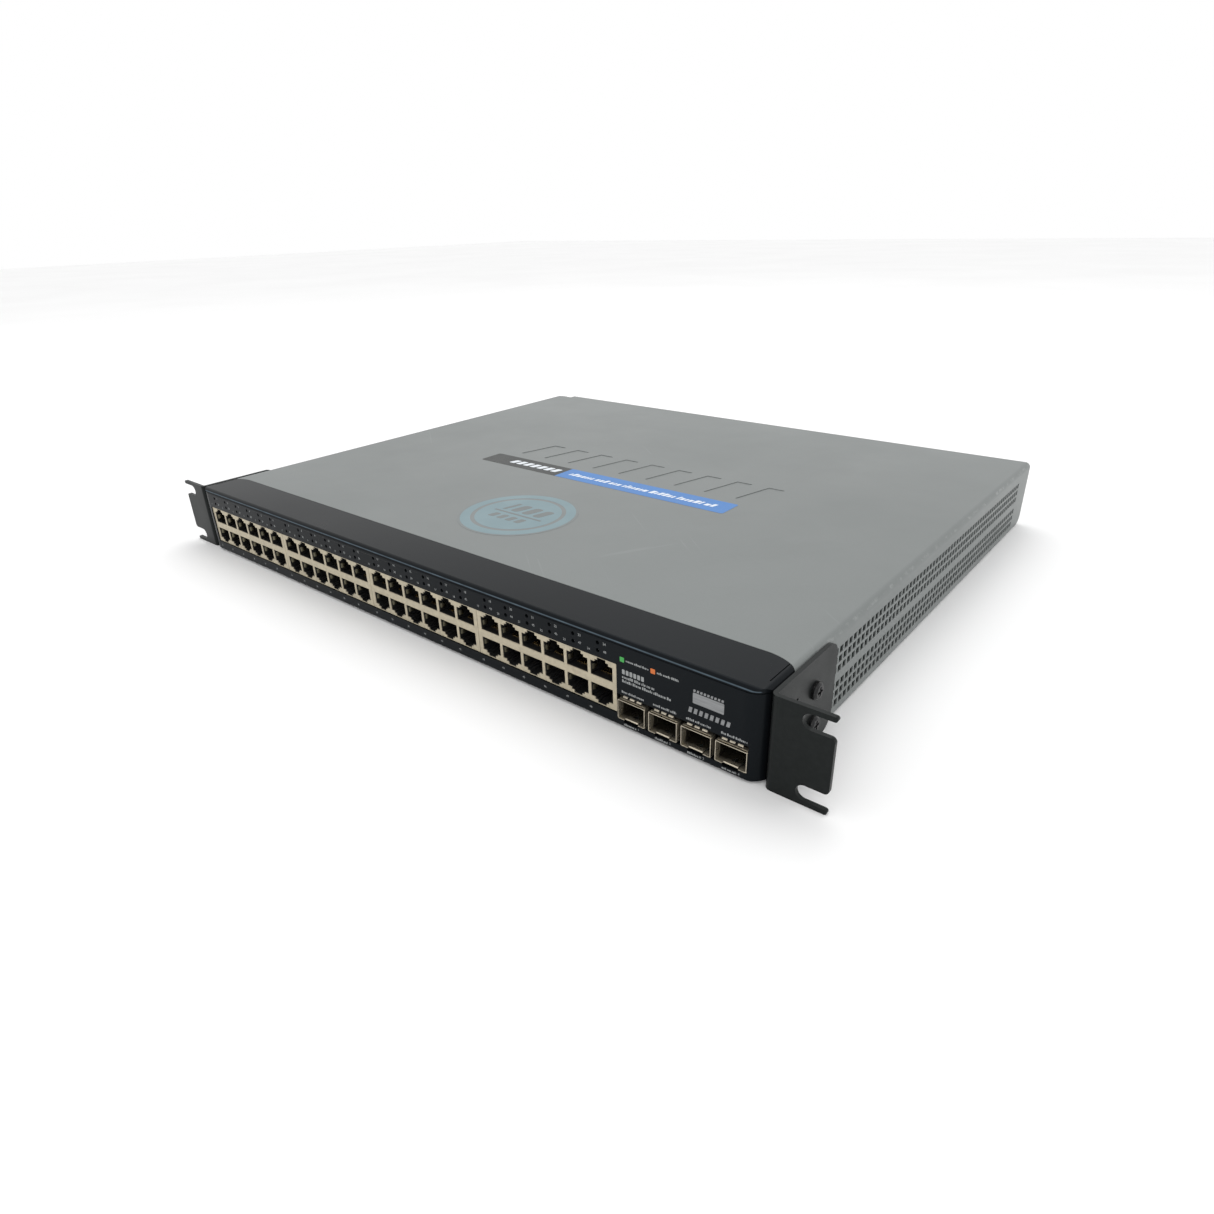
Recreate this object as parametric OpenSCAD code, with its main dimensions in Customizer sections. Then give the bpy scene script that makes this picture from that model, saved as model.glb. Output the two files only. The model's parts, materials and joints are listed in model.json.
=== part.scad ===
// Rackmount network switch: 48 twisted-pair ports, 4 module cages, one rack unit high.
// Every sub-part is drawn from the front face backwards: X to the right, Y to the back, Z up,
// with zero at the middle of the bezel's front face and at the underside of the chassis floor.
// place() then moves it to the reference point under the middle of the whole switch.

/* [Chassis] */
// Width of the chassis between the rack ears
chassis_w = 430; // [428:1:432]
// Height of the chassis, from the floor's underside to the top of the cover
chassis_h = 42.4; // [42.2:0.1:42.8]
// Depth of the chassis behind the bezel's front face
chassis_d = 364; // [360:1:370]
// Thickness of the sheet steel
sheet = 1; // [0.9:0.05:1.1]
// Outside radius of the bend between the cover's top and sides
cover_bend_r = 3.5; // [3:0.1:4]

/* [Rack ears] */
// Width over both ears, the 19 inch panel width
rack_w = 482.6; // [480:0.2:484]
// Height of an ear
ear_h = 43.1; // [42.5:0.1:43.6]
// How far the ears reach below the chassis floor
ear_drop = 1.1; // [0.9:0.1:1.3]
// Thickness of an ear
ear_t = 2; // [1.8:0.1:2.2]
// Distance between the two slots of an ear, one rack unit's hole spacing
slot_pitch = 31.75; // [31.5:0.05:32]
// Width of an ear's slots
slot_w = 7; // [6.6:0.1:7.2]
// How far an ear's side flange reaches back from the bezel's front face
flange_d = 56.5; // [54:0.5:57]

/* [Bezel] */
// Depth of the bezel along the top of the chassis
bezel_d = 28; // [27:0.5:29]
// Wall thickness of the bezel's front face
bezel_t = 2.4; // [2:0.1:2.6]
// Radius of the bezel's upright front corners
bezel_corner_r = 9; // [8:0.5:10]

/* [Vents] */
// Side of a square vent hole
vent = 3.3; // [3:0.1:3.5]
// Distance between vent holes, along and across the rows
vent_pitch = 4.72; // [4.6:0.02:4.9]
// Number of vent holes in a row
vent_count = 60; // [40:1:60]

/* [Ports] */
// Left end of the first jack block
jack_x0 = -204.85; // [-205:0.05:-204.7]
// Distance from one jack block to the next
block_pitch = 87.33; // [87.25:0.01:87.4]
// Distance between neighbouring ports
port_pitch = 13.97; // [13.9:0.01:14]
// Distance between neighbouring module cages
cage_pitch = 16.42; // [16.3:0.01:16.5]

/* [Fans] */
// Side of a fan's square frame
fan_w = 40; // [40:1:40]
// Thickness of a fan
fan_t = 20; // [18:1:20]
// Number of blades on a fan rotor
blade_count = 7; // [5:1:9]

/* [Hidden] */
$fn = 48;

// Small amount that a cutting shape runs past the face it cuts
over = 1;
half_w = chassis_w / 2;
rear_reach = 5;
overall_d = chassis_d + rear_reach;

// Cover and chassis
cover_gap = 0.3;
side_front_y = 23;
vent_y0 = 60.5;
vent_bands = [10.12, 27.65];
emboss_depth = 0.35;
emboss_count = 9;
emboss_pitch = 23;
emboss_w = 11;
emboss_mid_x = 4;
emboss_y = [185, 215];
base_half_w = half_w - sheet - 0.1;
front_wall_y = 2.7;
rear_wall_y = chassis_d - 2 * sheet;
rear_wall_h = chassis_h - sheet - 0.2;
side_lip_h = 3;
cover_screw_x = [-150, 0, 150];
cover_screw_z = 36.5;
corner_notch = [17, 6];
hook = [6, 4];

// Ears
ear_y = 1.8;
bend_r = 1;
slot_x = 231.8;
slot_z = [ear_h / 2 - slot_pitch / 2, ear_h / 2 + slot_pitch / 2];
flange_corner_r = 8;
ear_screw_y = 37.5;
ear_screw_z = [10, 26.2];

// Bezel
bezel_half_w = half_w - 0.4;
floor_front_hw = bezel_half_w - bezel_t - 0.2;
floor_front_r = bezel_corner_r - bezel_t;
front_wall_inset = 4.9;
front_wall_hw = floor_front_hw - front_wall_inset;
bezel_top_t = 1.6;
bezel_top_r = 3;
bezel_foot_r = 1;
sweep_w = 16;
sweep_r = 24;
sweep_y = bezel_d - sweep_r;

// Boards
board_t = 1.6;
board_top = 3.5;
board_bottom = board_top - board_t;
board_half_w = 206;
board_y = [4.3, 205];
board_hole_x = [-198, -66, 66, 190];
board_hole_y = [90, 198];

// Ports
block_w = 87.1;
jack_z = [6.3, 30.1];
jack_y = [0.5, 33];
shell_t = 0.4;
pocket_gap = 0.15;
cavity_end_y = 20;
port_w = 12.3;
port_h = 7.1;
port_step = [7.7, 1.1];
port_notch = [4.9, 1.3];
middle_bar_h = 4;
jack_mid_z = (jack_z[0] + jack_z[1]) / 2;
contact_pitch = 1.02;
contact_w = 0.42;
led_dx = -1.3;
led_z = [33.8, 37.5];
led_y = [36, 41];
led_r = 0.95;
pipe_w = 1.3;

// Module cages
cage_x0 = 144.5;
cage_w = 14.5;
cage_z = [board_top, 13.2];
cage_y = [0.4, 49];
cage_t = 0.3;
cage_window_top = 16.3;
latch_pivot = [12.9, 4.05];
latch_w = 6.6;
latch_root_r = 0.45;
latch_slot_w = latch_w + 0.6;
latch_relief_w = latch_slot_w + 0.2;
latch_relief_z = 2.45;
tongue_t = 0.3;
lip_y = 0.95;
lip_r = 0.45;
tongue_hole = [3.4, 3.4, 3];
finger_w = 2.4;
finger_pitch = 3.6;
finger_profile = [[0.9, 1.3], [2.2, 2.75], [3.4, 2.75], [9, 0.2],
    [9, 0], [8.2, 0], [3.2, 2.4], [2.4, 2.4], [1.2, 1.1]];

// Fans
fan_y = [235, 300];
fan_mid_z = sheet + 0.1 + fan_w / 2;
fan_face_x = -base_half_w + sheet;
fan_bore_r = 18.8;
fan_hole_c = 16;
hub_r = 11.8;
shaft_r = 1.5;
shaft_clear = 0.05;

// Power supply
psu_x = [62, 200];
psu_y = [222, 338];
psu_bottom = 6;
psu_top = psu_bottom + board_t;
psu_hole_x = [psu_x[0] + 5, psu_x[1] - 5];
psu_hole_y = [psu_y[0] + 5, psu_y[1] - 5];
inlet_x = 150;
inlet_z = 20;
inlet_screw_dx = 20;

// Console connector
console_x = -120;
console_z = 18;
console_nut_dx = 12.5;
console_nut_r = 1.42;

steel = [0.62, 0.64, 0.63];
zinc = [0.7, 0.71, 0.7];
black = [0.08, 0.08, 0.09];
tin = [0.74, 0.69, 0.6];
board_green = [0.08, 0.3, 0.18];
copper_gold = [0.8, 0.62, 0.25];

function block_mid_x(b) = jack_x0 + b * block_pitch + block_w / 2;
function port_dx(p) = (p - 2.5) * port_pitch;
function led_x(b, p) = block_mid_x(b) + port_dx(p) + led_dx;
function cage_mid_x(c) = cage_x0 + cage_w / 2 + c * cage_pitch;

// Moves a sub-part to the reference point
module place() translate([0, -overall_d / 2, ear_drop]) children();

// A drawing in X and Z made into a plate that starts at y and is t thick
module plate_y(y, t) translate([0, y + t, 0]) rotate([90, 0, 0]) linear_extrude(t) children();

// A drawing in Y and Z made into a plate that starts at x and is t thick
module plate_x(x, t) translate([x, 0, 0]) rotate([90, 0, 90]) linear_extrude(t) children();

// A box between two corners
module block(low, high) translate(low) cube(high - low);

module rect(x, y) translate([x[0], y[0]]) square([x[1] - x[0], y[1] - y[0]]);

module round_rect(x, y, r) {
    rect([x[0] + r, x[1] - r], y);
    rect(x, [y[0] + r, y[1] - r]);
    for (cx = [x[0] + r, x[1] - r], cy = [y[0] + r, y[1] - r]) translate([cx, cy]) circle(r);
}

// A wall section with two rounded top corners
module arch(w, h, r) {
    rect([-w / 2, w / 2], [0, h - r]);
    rect([-w / 2 + r, w / 2 - r], [0, h]);
    for (s = [-1, 1]) translate([s * (w / 2 - r), h - r]) circle(r);
}

// A pan head screw along +Z: the head's underside is at zero and the shank runs down
module screw(head_r, head_h, shank_r, shank_l) {
    cross_w = head_r * 0.28;
    cross_l = head_r * 1.1;
    difference() {
        union() {
            rotate_extrude() polygon([[0, 0], [head_r, 0], [head_r, head_h * 0.5],
                [head_r * 0.75, head_h * 0.93], [0, head_h]]);
            translate([0, 0, -shank_l]) cylinder(r = shank_r, h = shank_l + head_h * 0.2);
        }
        for (a = [0, 90])
            rotate(a) block([-cross_l / 2, -cross_w / 2, head_h * 0.35], [cross_l / 2, cross_w / 2, head_h + over]);
    }
}

// A round wire through a list of points, with a ball at each turn
module wire(points, r) union() {
    for (i = [0 : len(points) - 2]) {
        d = points[i + 1] - points[i];
        length = norm(d);
        translate(points[i]) rotate([0, acos(d[2] / length), atan2(d[1], d[0])]) cylinder(r = r, h = length);
    }
    for (i = [1 : len(points) - 2]) translate(points[i]) sphere(r * 1.1);
}

// Everything in front of the bezel's rear edge, seen from above
module bezel_reach(grow = 0) {
    flat_x = half_w - sweep_w;
    rect([-flat_x, flat_x], [-over, sweep_y + (sweep_r + grow)]);
    for (s = [-1, 1]) translate([s * flat_x, sweep_y]) circle(sweep_r + grow);
}

module front_rounded(hw, y, depth, r) {
    rect([-hw + r, hw - r], [y, depth]);
    rect([-hw, hw], [y + r, depth]);
    for (s = [-1, 1]) translate([s * (hw - r), y + r]) circle(r);
}

// Square vent holes of one side wall, drawn in Y and Z
module vent_grid()
    for (band = vent_bands, row = [-1 : 1], i = [0 : vent_count - 1])
        translate([vent_y0 + i * vent_pitch, band + row * vent_pitch]) square(vent, center = true);

module cover_side()
    difference() {
        union() {
            rect([side_front_y, chassis_d - 6], [0, chassis_h - cover_bend_r]);
            rect([side_front_y, chassis_d], [6, chassis_h - cover_bend_r]);
            translate([chassis_d - 6, 6]) circle(6);
        }
        vent_grid();
        for (z = ear_screw_z) translate([ear_screw_y, z]) circle(2.2);
    }

// Plain slanted bars pressed into the cover's top
module emboss_bars() {
    slant = 7;
    for (i = [0 : emboss_count - 1]) {
        x = emboss_mid_x + (i - (emboss_count - 1) / 2) * emboss_pitch;
        polygon([[x - emboss_w / 2, emboss_y[0]], [x + emboss_w / 2, emboss_y[0]],
            [x + emboss_w / 2 + slant, emboss_y[1]], [x - emboss_w / 2 + slant, emboss_y[1]]]);
    }
}

module top_cover() place() color(steel) {
    bend_z = chassis_h - cover_bend_r;
    union() {
        difference() {
            plate_y(side_front_y - over, chassis_d - side_front_y + over)
                difference() {
                    arch(chassis_w, chassis_h, cover_bend_r);
                    arch(chassis_w - 2 * sheet, chassis_h - sheet, cover_bend_r - sheet);
                    rect([-half_w - over, half_w + over], [-over, bend_z]);
                }
            translate([0, 0, bend_z - over]) linear_extrude(cover_bend_r + 2 * over) bezel_reach(cover_gap);
            translate([0, 0, chassis_h - emboss_depth]) linear_extrude(over) emboss_bars();
            block([-half_w - over, chassis_d - corner_notch[1], bend_z - over],
                [-half_w + corner_notch[0], chassis_d + over, chassis_h + over]);
        }
        plate_x(half_w - sheet, sheet) cover_side();
        plate_x(-half_w, sheet) cover_side();
        plate_y(chassis_d - sheet, sheet)
            difference() {
                rect([-half_w + corner_notch[0] + 4, half_w - 5], [31.8, chassis_h - sheet]);
                for (x = cover_screw_x) translate([x, cover_screw_z]) circle(1.7);
            }
    }
}

// Opening of one port, drawn in X and Z from the middle bar's edge outwards
module port_opening(shrink = 0) {
    w = [port_w, port_step[0], port_notch[0]];
    h = [port_h, port_h + port_step[1], port_h + port_step[1] + port_notch[1]];
    for (i = [0 : 2]) rect([-w[i] / 2 + shrink, w[i] / 2 - shrink], [shrink, h[i] - shrink]);
}

// The twelve port openings of a block: catches upwards in the top row, downwards in the bottom row
module port_grid(shrink = 0)
    for (p = [0 : 5])
        translate([port_dx(p), jack_mid_z]) {
            translate([0, middle_bar_h / 2]) port_opening(shrink);
            mirror([0, 1]) translate([0, middle_bar_h / 2]) port_opening(shrink);
        }

module led_grid(r)
    for (b = [0 : 3], p = [0 : 5], z = led_z) translate([led_x(b, p), z]) circle(r);

module chassis_base() place() color(zinc) {
    wall_x = base_half_w;
    union() {
        linear_extrude(sheet) difference() {
            union() {
                front_rounded(floor_front_hw, front_wall_y, side_front_y + 2, floor_front_r);
                rect([-wall_x, wall_x], [side_front_y + 1, rear_wall_y + sheet]);
            }
            for (x = board_hole_x, y = board_hole_y) translate([x, y]) circle(1.7);
            for (x = psu_hole_x, y = psu_hole_y) translate([x, y]) circle(1.7);
        }
        plate_y(front_wall_y, sheet) difference() {
            rect([-front_wall_hw, front_wall_hw], [0, chassis_h - bezel_top_t - 0.4]);
            rect([jack_x0 - 0.4, cage_x0 - 0.1], [5.6, jack_z[1] + 0.4]);
            rect([cage_x0 - 0.2, cage_mid_x(3) + cage_w / 2 + 0.4], [1.2, cage_window_top + 0.3]);
            led_grid(1.2);
        }
        plate_y(rear_wall_y, sheet) difference() {
            arch(2 * wall_x, rear_wall_h, cover_bend_r);
            rect([inlet_x - 14, inlet_x + 14], [inlet_z - 10.2, inlet_z + 10.2]);
            for (s = [-1, 1]) translate([inlet_x + s * inlet_screw_dx, inlet_z]) circle(1.7);
            rect([console_x - 9.8, console_x + 9.8], [console_z - 5.6, console_z + 5.6]);
            for (s = [-1, 1]) translate([console_x + s * console_nut_dx, console_z]) circle(1.7);
            for (x = cover_screw_x) translate([x, cover_screw_z]) circle(1.4);
        }
        for (x = [-wall_x, wall_x - sheet]) plate_x(x, sheet) difference() {
            union() {
                rect([side_front_y + 2, rear_wall_y + sheet], [0, side_lip_h]);
                rect([side_front_y + 2, 53], [0, 35]);
                rect([rear_wall_y - 15, rear_wall_y + sheet], [0, 38]);
            }
            for (z = ear_screw_z) translate([ear_screw_y, z]) circle(2);
        }
        plate_x(-wall_x, sheet) difference() {
            rect([fan_y[0] - 22, fan_y[1] + 22], [side_lip_h - over, 38]);
            for (y = fan_y) translate([y, fan_mid_z]) {
                circle(fan_bore_r - 1);
                for (a = [-1, 1], b = [-1, 1]) translate([a * fan_hole_c, b * fan_hole_c]) circle(1.9);
            }
        }
        block([-wall_x, rear_wall_y - corner_notch[1], rear_wall_h - sheet],
            [-half_w + corner_notch[0] - 1, rear_wall_y + sheet / 2, rear_wall_h]);
        block([-wall_x, rear_wall_y + sheet / 2, rear_wall_h - hook[1]],
            [-wall_x + hook[0], rear_wall_y + 2 * sheet, rear_wall_h]);
    }
}

module bezel_groove(z, depth) {
    hw = bezel_half_w - bezel_corner_r;
    height = 0.5;
    block([-hw, -over, z], [hw, depth, z + height]);
    for (s = [-1, 1]) intersection() {
        translate([s * hw, bezel_corner_r, z]) difference() {
            cylinder(r = bezel_corner_r + over, h = height);
            translate([0, 0, -over]) cylinder(r = bezel_corner_r - depth, h = height + 2 * over);
        }
        block([s > 0 ? hw : -hw - 2 * bezel_corner_r, -over, z - over],
            [s > 0 ? hw + 2 * bezel_corner_r : -hw, bezel_corner_r, z + 2 * over]);
    }
}

module front_bezel() place() color(black) difference() {
    intersection() {
        linear_extrude(chassis_h) intersection() {
            front_rounded(bezel_half_w, 0, bezel_d + over, bezel_corner_r);
            bezel_reach();
        }
        plate_x(-bezel_half_w, 2 * bezel_half_w) {
            rect([bezel_top_r, bezel_d + over], [0, chassis_h]);
            rect([bezel_foot_r, bezel_d], [0, bezel_top_r]);
            rect([0, bezel_d], [bezel_foot_r, chassis_h - bezel_top_r]);
            translate([bezel_top_r, chassis_h - bezel_top_r]) circle(bezel_top_r);
            translate([bezel_foot_r, bezel_foot_r]) circle(bezel_foot_r);
        }
        plate_y(0, bezel_d + over) arch(2 * bezel_half_w, chassis_h, bezel_top_r);
    }
    translate([0, 0, -over]) linear_extrude(chassis_h - bezel_top_t + over)
        front_rounded(bezel_half_w - bezel_t, bezel_t, bezel_d + 2 * over, bezel_corner_r - bezel_t);
    plate_y(-over, bezel_t + 2 * over) {
        round_rect([jack_x0 - 0.3, cage_x0 - 0.15], [jack_z[0] - 0.3, jack_z[1] + 0.3], 0.3);
        round_rect([cage_x0 - 0.05, cage_mid_x(3) + cage_w / 2 + 0.2], [cage_z[0] - 0.1, cage_window_top], 0.3);
        for (c = [0 : 3])
            rect([cage_mid_x(c) - latch_relief_w / 2, cage_mid_x(c) + latch_relief_w / 2], [latch_relief_z, cage_z[0]]);
        led_grid(led_r);
    }
    bezel_groove(chassis_h - 2.4, 0.35);
    for (s = [-1, 1]) translate([s * (bezel_half_w - 3.6), 0, 0])
        block([-0.25, bezel_corner_r, chassis_h - 0.4], [0.25, bezel_d, chassis_h + over]);
}

// Right rack ear: a front plate with two open slots and a side flange, joined by a bend
module rack_ear() {
    outer_r = ear_t + bend_r;
    bend_x = half_w + outer_r;
    arm_h = slot_z[0] - slot_w / 2;
    arm_x = rack_w / 2 - arm_h / 2;
    translate([0, 0, -ear_drop]) union() {
        plate_y(ear_y, ear_t) difference() {
            union() {
                rect([bend_x, slot_x], [0, ear_h]);
                for (z = [0, ear_h - arm_h]) {
                    rect([bend_x, arm_x], [z, z + arm_h]);
                    translate([arm_x, z + arm_h / 2]) circle(arm_h / 2);
                }
                round_rect([slot_x - 8, rack_w / 2], [slot_z[0] + slot_w / 2, slot_z[1] - slot_w / 2], 2);
            }
            for (z = slot_z) translate([slot_x, z]) circle(slot_w / 2);
        }
        linear_extrude(ear_h) intersection() {
            translate([bend_x, ear_y + outer_r]) difference() {
                circle(outer_r);
                circle(bend_r);
            }
            rect([half_w, bend_x], [ear_y, ear_y + outer_r]);
        }
        plate_x(half_w, ear_t) difference() {
            union() {
                rect([ear_y + outer_r, flange_d - flange_corner_r], [0, ear_h]);
                rect([ear_y + outer_r, flange_d], [flange_corner_r, ear_h - flange_corner_r]);
                for (z = [flange_corner_r, ear_h - flange_corner_r])
                    translate([flange_d - flange_corner_r, z]) circle(flange_corner_r);
            }
            for (z = ear_screw_z) translate([ear_screw_y, z + ear_drop]) circle(2.25);
            translate([21.4, 31]) circle(0.8);
        }
    }
}

module rack_ear_right() place() color(black) rack_ear();
module rack_ear_left() place() color(black) mirror([1, 0, 0]) rack_ear();

module ear_screws() place() color(black)
    for (s = [0, 1], z = ear_screw_z) mirror([s, 0, 0])
        translate([half_w + ear_t, ear_screw_y, z]) rotate([0, 90, 0]) screw(4, 2.3, 1.9, 8);

module cover_screws() place() color(zinc)
    for (x = cover_screw_x)
        translate([x, chassis_d, cover_screw_z]) rotate([-90, 0, 0]) screw(2.8, 1.8, 1.35, 5);

module strip_label() place() color([0.35, 0.55, 0.8]) translate([0, 0, chassis_h]) linear_extrude(0.1)
    round_rect([-106, 99], [156.3, 175.1], 1.5);

module round_sticker() place() color([0.6, 0.72, 0.78])
    translate([1.2, 86.7, chassis_h]) cylinder(r = 36, h = 0.1);

module main_board() place() color(board_green) translate([0, 0, board_bottom]) linear_extrude(board_t)
    difference() {
        rect([-board_half_w, board_half_w + 2], board_y);
        rect([cage_x0 - 0.3, board_half_w + 3], [0, 14.5]);
        for (x = board_hole_x, y = board_hole_y) translate([x, y]) circle(1.7);
    }

module board_standoffs() place() color(zinc)
    for (x = board_hole_x, y = board_hole_y) translate([x, y, sheet]) difference() {
        cylinder(r = 3.5, h = board_bottom - sheet);
        translate([0, 0, -over]) cylinder(r = 1.7, h = board_bottom);
    }

module board_screws() place() color(zinc) {
    for (x = board_hole_x, y = board_hole_y) translate([x, y, board_top]) screw(2.8, 1.8, 1.4, 3.3);
    for (x = psu_hole_x, y = psu_hole_y) translate([x, y, psu_top]) screw(2.8, 1.8, 1.4, 7.4);
}

// Metal shield of a block of twelve jacks
module jack_shell(b) place() color(tin) translate([block_mid_x(b), 0, 0]) {
    hw = block_w / 2;
    union() {
        plate_y(jack_y[0], shell_t) difference() {
            rect([-hw, hw], jack_z);
            port_grid();
        }
        plate_y(jack_y[0] + shell_t, jack_y[1] - jack_y[0] - 2 * shell_t) difference() {
            rect([-hw, hw], jack_z);
            rect([-hw + shell_t, hw - shell_t], [jack_z[0] - over, jack_z[1] - shell_t]);
        }
        block([-hw, jack_y[1] - shell_t, jack_z[0]], [hw, jack_y[1], jack_z[1]]);
    }
}

// Moulded body inside a jack shield, with a pocket for each plug
module jack_insert(b) place() color(black) translate([block_mid_x(b), 0, 0]) {
    hw = block_w / 2 - shell_t;
    top = jack_z[1] - shell_t;
    front = jack_y[0] + shell_t;
    back = jack_y[1] - shell_t;
    union() {
        plate_y(front, cavity_end_y - front) difference() {
            rect([-hw, hw], [jack_z[0], top]);
            port_grid(pocket_gap);
        }
        block([-hw, cavity_end_y, jack_z[0]], [hw, back, top]);
        block([-hw, front_wall_y + sheet + 1, board_top], [hw, back, jack_z[0]]);
    }
}

// Eight spring contacts of one port, rising from the wall opposite the catch
module port_contacts() {
    base = middle_bar_h / 2 + pocket_gap;
    wire_t = 0.3;
    rise = 1.6;
    for (i = [0 : 7])
        plate_x((i - 3.5) * contact_pitch - contact_w / 2, contact_w)
            polygon([[5, base], [6, base], [15.5, base + rise], [cavity_end_y, base + rise],
                [cavity_end_y, base + rise + wire_t], [15.4, base + rise + wire_t], [5, base + wire_t]]);
}

module jack_contacts(b) place() color(copper_gold)
    for (p = [0 : 5], s = [0, 1])
        translate([block_mid_x(b) + port_dx(p), 0, jack_mid_z]) mirror([0, 0, s]) port_contacts();

// Sheet metal cage for a plug-in module, open at the front
module sfp_cage(c) place() color(tin) translate([cage_mid_x(c), 0, 0]) {
    hw = cage_w / 2;
    union() {
        plate_y(cage_y[0], cage_y[1] - cage_y[0] - cage_t) difference() {
            rect([-hw, hw], cage_z);
            rect([-hw + cage_t, hw - cage_t], [cage_z[0] - over, cage_z[1] - cage_t]);
        }
        block([-hw, cage_y[1] - cage_t, cage_z[0]], [hw, cage_y[1], cage_z[1]]);
        translate([0, 0, cage_z[0]]) linear_extrude(cage_t) difference() {
            rect([-hw + cage_t, hw - cage_t], [cage_y[0], 36]);
            rect([-latch_slot_w / 2, latch_slot_w / 2], [0, latch_pivot[0] + 0.8]);
        }
    }
}

// Spring tongue in a cage's floor, with the three-cornered hole that holds the module
module sfp_latch(c) place() color(tin) translate([cage_mid_x(c), 0, 0]) {
    z = latch_pivot[1] - tongue_t / 2;
    union() {
        translate([0, 0, z]) linear_extrude(tongue_t) difference() {
            rect([-latch_w / 2, latch_w / 2], [lip_y, latch_pivot[0]]);
            translate([0, tongue_hole[0]])
                polygon([[-tongue_hole[1] / 2, 0], [tongue_hole[1] / 2, 0], [0, tongue_hole[2]]]);
        }
        translate([-latch_w / 2, lip_y, latch_pivot[1]]) rotate([0, 90, 0]) cylinder(r = lip_r, h = latch_w);
        translate([-latch_w / 2, latch_pivot[0], latch_pivot[1]]) rotate([0, 90, 0])
            cylinder(r = latch_root_r, h = latch_w);
    }
}

module sfp_sockets() place() color(black)
    for (c = [0 : 3]) translate([cage_mid_x(c), 0, 0]) difference() {
        block([-5.6, 38, board_top], [5.6, 46, 10.5]);
        block([-4.6, 37, 7], [4.6, 43, 8.4]);
    }

// Spring strips between the cages and the front wall
module emi_fingers() place() color(tin)
    for (c = [0 : 3]) translate([cage_mid_x(c), 0, cage_z[1]]) union() {
        block([-6.6, 1.2, 0], [6.6, 9, 0.25]);
        for (i = [-1 : 1])
            plate_x(i * finger_pitch - finger_w / 2, finger_w) polygon(finger_profile);
    }

// Clear bars that carry the light of the status lamps to the bezel
module light_pipes() place() color([0.85, 0.9, 0.92])
    for (b = [0 : 3]) union() {
        for (p = [0 : 5], i = [0, 1]) translate([led_x(b, p), 0, 0]) {
            h = pipe_w / 2;
            translate([0, 1.2, led_z[i]]) rotate([-90, 0, 0]) cylinder(r = 0.6, h = 6);
            block([-h, 5, led_z[i] - h], [h, led_y[i] + h, led_z[i] + h]);
            block([-h, led_y[i] - h, board_top + 0.9], [h, led_y[i] + h, led_z[i] + h]);
        }
        translate([block_mid_x(b), 0, 0]) {
            block([-40, 34.2, 31], [40, 35.2, 39]);
            for (s = [-1, 1]) block([s * 41.2 - 1.4, 34.2, board_top], [s * 41.2 + 1.4, 37, 39]);
        }
    }

module status_leds() place() color([0.9, 0.92, 0.85])
    for (b = [0 : 3], p = [0 : 5], y = led_y)
        translate([led_x(b, p), y, board_top + 0.35]) cube([1.6, 1, 0.7], center = true);

module switch_chips() place() color(black)
    for (x = [-70, 60]) block([x - 17.5, 102.5, board_top], [x + 17.5, 137.5, board_top + 2.4]);

// A finned sink: the fins stand along Y
module fin_block(w, length, base_t, h, fin_count, fin_t)
    rotate([90, 0, 0]) translate([0, 0, -length / 2]) linear_extrude(length) union() {
        rect([-w / 2, w / 2], [0, base_t]);
        for (i = [0 : fin_count - 1]) {
            x = -w / 2 + i * (w - fin_t) / (fin_count - 1);
            rect([x, x + fin_t], [0, h]);
        }
    }

module chip_heat_sinks() place() color(zinc)
    for (x = [-70, 60]) translate([x, 120, board_top + 2.4]) fin_block(45, 45, 3, 18, 12, 1.2);

module phy_chips() place() color(black)
    for (i = [0 : 5]) translate([-170 + i * 62, 76, board_top])
        block([-10, -10, 0], [10, 10, 1.6]);

module line_transformers() place() color(black)
    for (b = [0 : 3], i = [-1 : 1]) translate([block_mid_x(b) + i * 28, 53, board_top])
        block([-12, -6, 0], [12, 6, 6]);

module board_capacitors() place() color([0.75, 0.75, 0.75])
    for (i = [0 : 7]) translate([-178 + i * 22, 176, board_top]) cylinder(r = 4, h = 11);

module board_headers() place() color([0.9, 0.88, 0.8]) {
    block([92, 180, board_top], [116, 190, board_top + 10]);
    for (x = [-176, -160]) block([x, 190, board_top], [x + 8, 196, board_top + 7]);
    block([-128, 190, board_top], [-108, 196, board_top + 8]);
}

module psu_board() place() color([0.45, 0.35, 0.15]) translate([0, 0, psu_bottom]) linear_extrude(board_t)
    difference() {
        rect(psu_x, psu_y);
        for (x = psu_hole_x, y = psu_hole_y) translate([x, y]) circle(1.7);
    }

module psu_standoffs() place() color(zinc)
    for (x = psu_hole_x, y = psu_hole_y) translate([x, y, sheet]) difference() {
        cylinder(r = 3, h = psu_bottom - sheet);
        translate([0, 0, -over]) cylinder(r = 1.7, h = psu_bottom + over);
    }

module psu_insulator() place() color([0.85, 0.85, 0.8]) translate([0, 0, sheet]) linear_extrude(0.4)
    difference() {
        rect([psu_x[0] - 2, psu_x[1] + 2], [psu_y[0] - 2, psu_y[1] + 2]);
        for (x = psu_hole_x, y = psu_hole_y) translate([x, y]) circle(3.3);
    }

// Ferrite core in two windows, with the winding round its middle limb
module psu_transformer() place() color([0.2, 0.2, 0.2]) translate([128, 285, psu_top]) {
    difference() {
        block([-17, -14, 2], [17, 14, 28]);
        for (s = [-1, 1]) block([s * 9 - 4, -14 - over, 6], [s * 9 + 4, 14 + over, 24]);
    }
    difference() {
        block([-12.6, -15, 6.3], [12.6, 15, 23.7]);
        block([-5, -15 - over, 6], [5, 15 + over, 24]);
    }
    block([-15, -12, 0], [15, 12, 2]);
}

module psu_capacitors() place() color([0.15, 0.2, 0.45]) {
    for (x = [166, 190]) translate([x, 310, psu_top]) cylinder(r = 11, h = 28);
    for (i = [0 : 3]) translate([76, 245 + i * 14, psu_top]) cylinder(r = 5, h = 20);
}

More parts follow.
